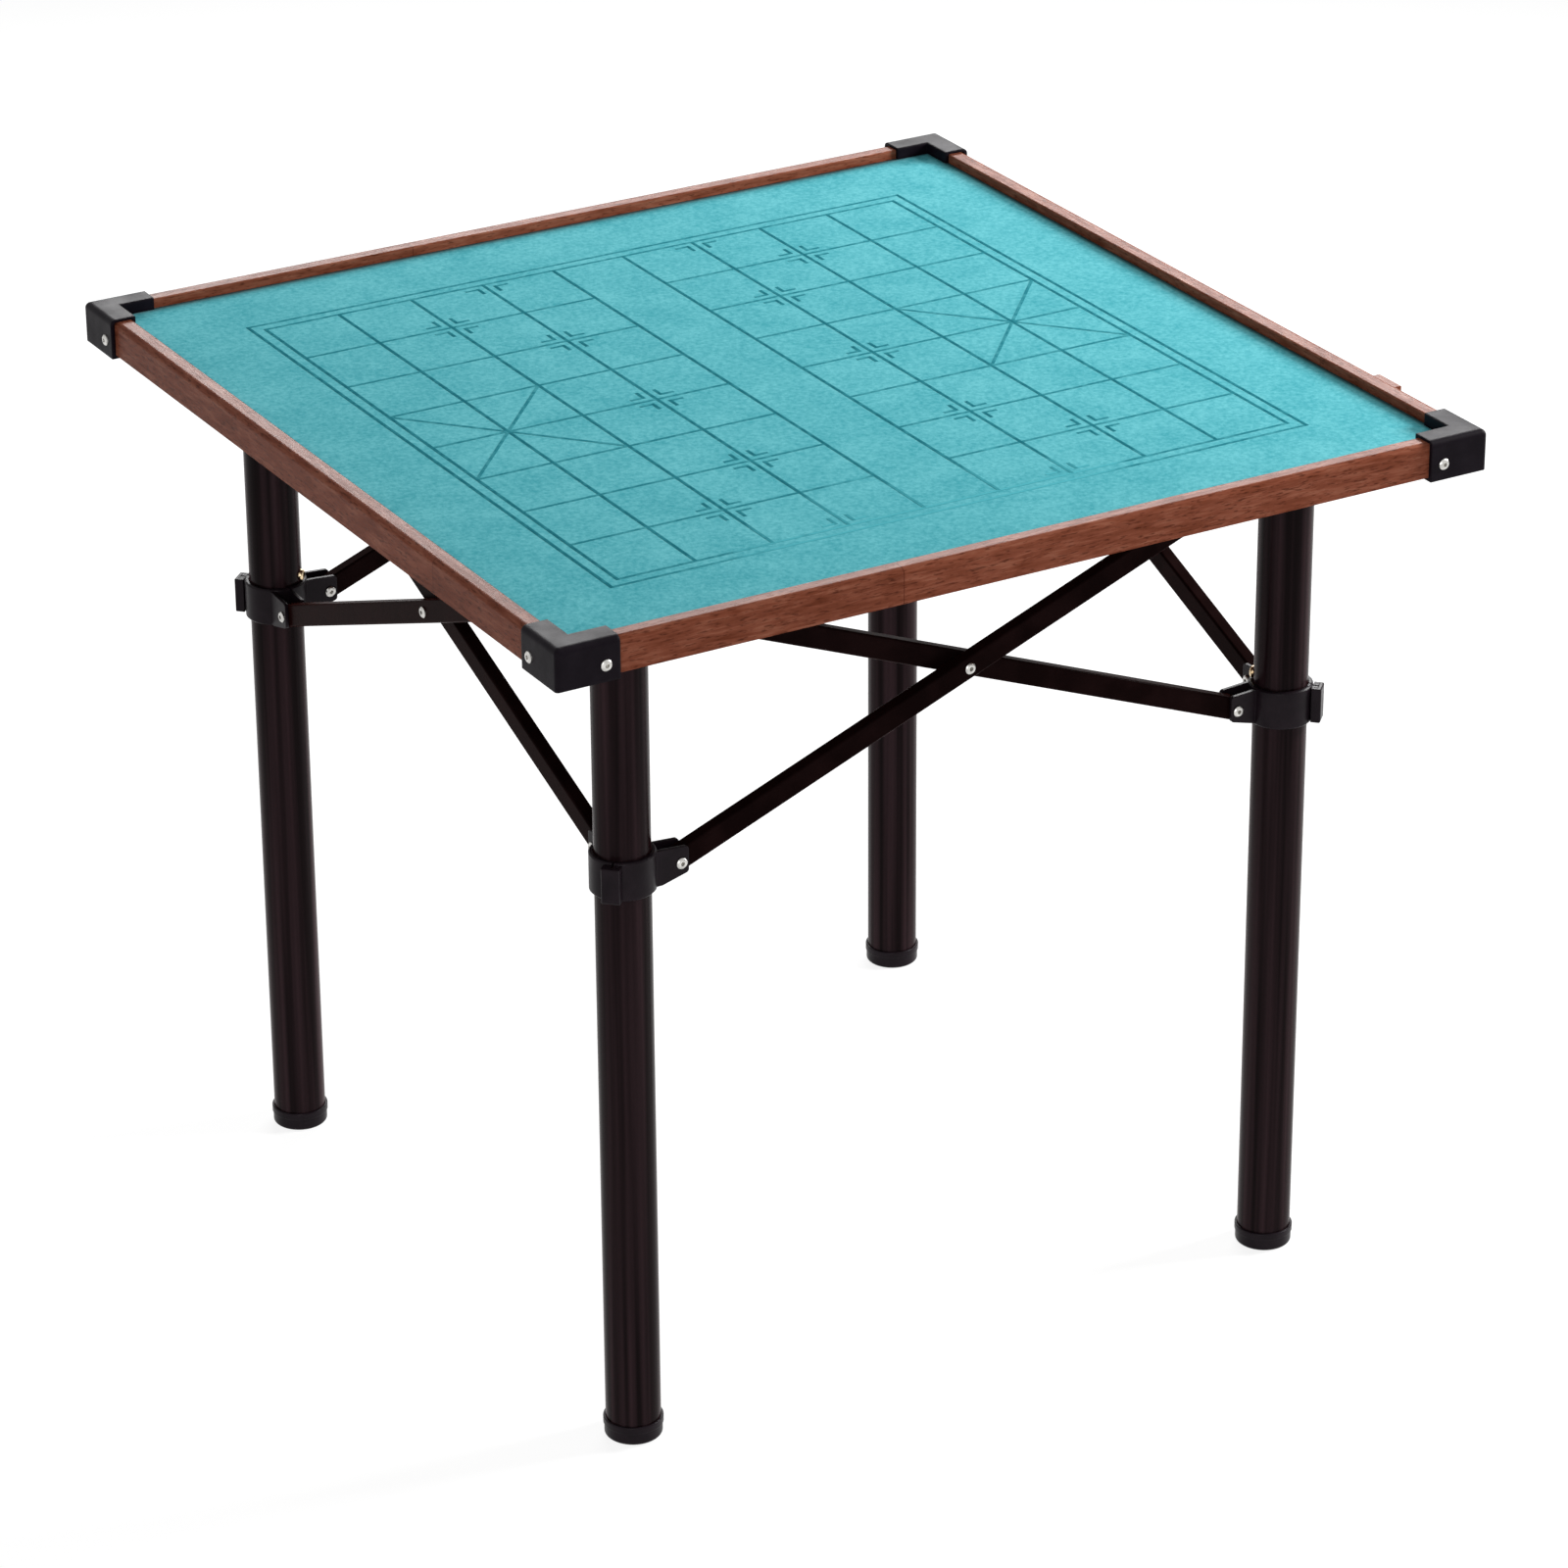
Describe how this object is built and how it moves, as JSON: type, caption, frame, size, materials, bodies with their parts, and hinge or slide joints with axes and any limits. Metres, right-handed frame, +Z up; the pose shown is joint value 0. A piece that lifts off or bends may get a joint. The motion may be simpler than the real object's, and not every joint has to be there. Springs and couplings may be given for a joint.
{
  "type": "folding game table",
  "caption": "Square folding mahjong table: felt field with a printed chess board, wood rails, plastic corner caps and shallow drawers, on round legs joined by scissor bars with sliding collars.",
  "frame": {"origin": "on the floor under the middle of the top", "axes": "+Z up, +X to the right along the front rail, +Y from the front rail to the back rail"},
  "size_m": [0.854, 0.854, 0.76],
  "materials": {
    "felt": "teal felt",
    "board": "thin plywood",
    "rail_wood": "brown wood grain, satin",
    "panel_wood": "thin plywood",
    "core_wood": "bare softwood",
    "drawer_wood": "brown wood grain, satin",
    "tray_plastic": "moulded, matte",
    "cap_plastic": "moulded, fine matte texture",
    "frame_plastic": "moulded, semi-gloss",
    "leg_paint": "gloss dark brown-black",
    "bar_paint": "gloss black",
    "zinc": "bright zinc",
    "brass": "polished"
  },
  "bodies": {
    "upright_front_left": {"leg_front_left": "leg_paint", "leg_head_front_left": "frame_plastic", "foot_front_left": "frame_plastic", "stop_front_left": "brass"},
    "slider_front_left": {"collar_front_left": "frame_plastic", "collar_clip_front_left": "frame_plastic"},
    "upright_front_right": {"leg_front_right": "leg_paint", "leg_head_front_right": "frame_plastic", "foot_front_right": "frame_plastic", "stop_front_right": "brass"},
    "slider_front_right": {"collar_front_right": "frame_plastic", "collar_clip_front_right": "frame_plastic"},
    "upright_back_right": {"leg_back_right": "leg_paint", "leg_head_back_right": "frame_plastic", "foot_back_right": "frame_plastic", "stop_back_right": "brass"},
    "slider_back_right": {"collar_back_right": "frame_plastic", "collar_clip_back_right": "frame_plastic"},
    "upright_back_left": {"leg_back_left": "leg_paint", "leg_head_back_left": "frame_plastic", "foot_back_left": "frame_plastic", "stop_back_left": "brass"},
    "slider_back_left": {"collar_back_left": "frame_plastic", "collar_clip_back_left": "frame_plastic"},
    "scissor_front_outer": {"bar_front_outer": "bar_paint", "rivets_front_outer": "zinc"},
    "scissor_front_inner": {"bar_front_inner": "bar_paint", "rivets_front_inner": "zinc"},
    "scissor_right_outer": {"bar_right_outer": "bar_paint", "rivets_right_outer": "zinc"},
    "scissor_right_inner": {"bar_right_inner": "bar_paint", "rivets_right_inner": "zinc"},
    "scissor_back_outer": {"bar_back_outer": "bar_paint", "rivets_back_outer": "zinc"},
    "scissor_back_inner": {"bar_back_inner": "bar_paint", "rivets_back_inner": "zinc"},
    "scissor_left_outer": {"bar_left_outer": "bar_paint", "rivets_left_outer": "zinc"},
    "scissor_left_inner": {"bar_left_inner": "bar_paint", "rivets_left_inner": "zinc"},
    "table_top": {"play_board": "board", "playing_felt": "felt", "bottom_panel": "panel_wood", "core_battens": "core_wood", "locating_blocks": "core_wood", "cap_screws": "zinc", "rail_front": "rail_wood", "rail_right": "rail_wood", "rail_back": "rail_wood", "rail_left": "rail_wood", "corner_cap_front_left": "cap_plastic", "corner_cap_front_right": "cap_plastic", "corner_cap_back_right": "cap_plastic", "corner_cap_back_left": "cap_plastic"},
    "drawer_right": {"drawer_right_tray": "tray_plastic", "drawer_right_front": "drawer_wood", "drawer_right_pull": "drawer_wood"},
    "drawer_back": {"drawer_back_tray": "tray_plastic", "drawer_back_front": "drawer_wood", "drawer_back_pull": "drawer_wood"}
  },
  "joints": [
    {"name": "fold", "type": "hinge", "parent": "upright_front_left", "child": "scissor_front_inner", "pos_m": [-0.2635, -0.3007, 0.713], "axis": [0, 1, 0], "range_deg": [0, 62.6]},
    {"name": "front_crossing", "type": "hinge", "parent": "scissor_front_inner", "child": "scissor_front_outer", "pos_m": [0, -0.307, 0.61], "axis": [0, 1, 0], "range_deg": [-125.2, 0]},
    {"name": "front_right_head", "type": "hinge", "parent": "scissor_front_outer", "child": "upright_front_right", "pos_m": [0.2635, -0.3133, 0.713], "axis": [0, 1, 0], "range_deg": [0, 62.6]},
    {"name": "front_right_collar", "type": "hinge", "parent": "scissor_front_inner", "child": "slider_front_right", "pos_m": [0.2635, -0.3007, 0.507], "axis": [0, 1, 0], "range_deg": [-62.6, 0]},
    {"name": "front_left_collar", "type": "hinge", "parent": "scissor_front_outer", "child": "slider_front_left", "pos_m": [-0.2635, -0.3133, 0.507], "axis": [0, 1, 0], "range_deg": [0, 62.6]},
    {"name": "left_side_head", "type": "hinge", "parent": "upright_front_left", "child": "scissor_left_outer", "pos_m": [-0.3133, -0.2635, 0.713], "axis": [-1, 0, 0], "range_deg": [0, 62.6]},
    {"name": "left_crossing", "type": "hinge", "parent": "scissor_left_outer", "child": "scissor_left_inner", "pos_m": [-0.307, 0, 0.61], "axis": [-1, 0, 0], "range_deg": [-125.2, 0]},
    {"name": "back_left_head", "type": "hinge", "parent": "scissor_left_inner", "child": "upright_back_left", "pos_m": [-0.3007, 0.2635, 0.713], "axis": [-1, 0, 0], "range_deg": [0, 62.6]},
    {"name": "back_left_collar", "type": "hinge", "parent": "scissor_left_outer", "child": "slider_back_left", "pos_m": [-0.3133, 0.2635, 0.507], "axis": [-1, 0, 0], "range_deg": [-62.6, 0]},
    {"name": "right_side_head", "type": "hinge", "parent": "upright_front_right", "child": "scissor_right_inner", "pos_m": [0.3007, -0.2635, 0.713], "axis": [-1, 0, 0], "range_deg": [0, 62.6]},
    {"name": "right_crossing", "type": "hinge", "parent": "scissor_right_inner", "child": "scissor_right_outer", "pos_m": [0.307, 0, 0.61], "axis": [-1, 0, 0], "range_deg": [-125.2, 0]},
    {"name": "back_right_head", "type": "hinge", "parent": "scissor_right_outer", "child": "upright_back_right", "pos_m": [0.3133, 0.2635, 0.713], "axis": [-1, 0, 0], "range_deg": [0, 62.6]},
    {"name": "back_right_collar", "type": "hinge", "parent": "scissor_right_inner", "child": "slider_back_right", "pos_m": [0.3007, 0.2635, 0.507], "axis": [-1, 0, 0], "range_deg": [-62.6, 0]},
    {"name": "back_side_head_left", "type": "hinge", "parent": "upright_back_left", "child": "scissor_back_outer", "pos_m": [-0.2635, 0.3133, 0.713], "axis": [0, 1, 0], "range_deg": [0, 62.6]},
    {"name": "back_side_head_right", "type": "hinge", "parent": "upright_back_right", "child": "scissor_back_inner", "pos_m": [0.2635, 0.3007, 0.713], "axis": [0, -1, 0], "range_deg": [0, 62.6]},
    {"name": "top_lift", "type": "slide", "parent": "upright_front_left", "child": "table_top", "axis": [0, 0, 1], "range_m": [0, 0.12]},
    {"name": "drawer_right_slide", "type": "slide", "parent": "table_top", "child": "drawer_right", "axis": [1, 0, 0], "range_m": [0, 0.13]},
    {"name": "drawer_back_slide", "type": "slide", "parent": "table_top", "child": "drawer_back", "axis": [0, 1, 0], "range_m": [0, 0.13]}
  ],
  "couplings": [
    {"joint": "front_crossing", "follows": "fold", "ratio": -2},
    {"joint": "front_right_head", "follows": "fold", "ratio": 1},
    {"joint": "front_right_collar", "follows": "fold", "ratio": -1},
    {"joint": "front_left_collar", "follows": "fold", "ratio": 1},
    {"joint": "left_side_head", "follows": "fold", "ratio": 1},
    {"joint": "left_crossing", "follows": "fold", "ratio": -2},
    {"joint": "back_left_head", "follows": "fold", "ratio": 1},
    {"joint": "back_left_collar", "follows": "fold", "ratio": -1},
    {"joint": "right_side_head", "follows": "fold", "ratio": 1},
    {"joint": "right_crossing", "follows": "fold", "ratio": -2},
    {"joint": "back_right_head", "follows": "fold", "ratio": 1},
    {"joint": "back_right_collar", "follows": "fold", "ratio": -1},
    {"joint": "back_side_head_left", "follows": "fold", "ratio": 1},
    {"joint": "back_side_head_right", "follows": "fold", "ratio": 1}
  ]
}
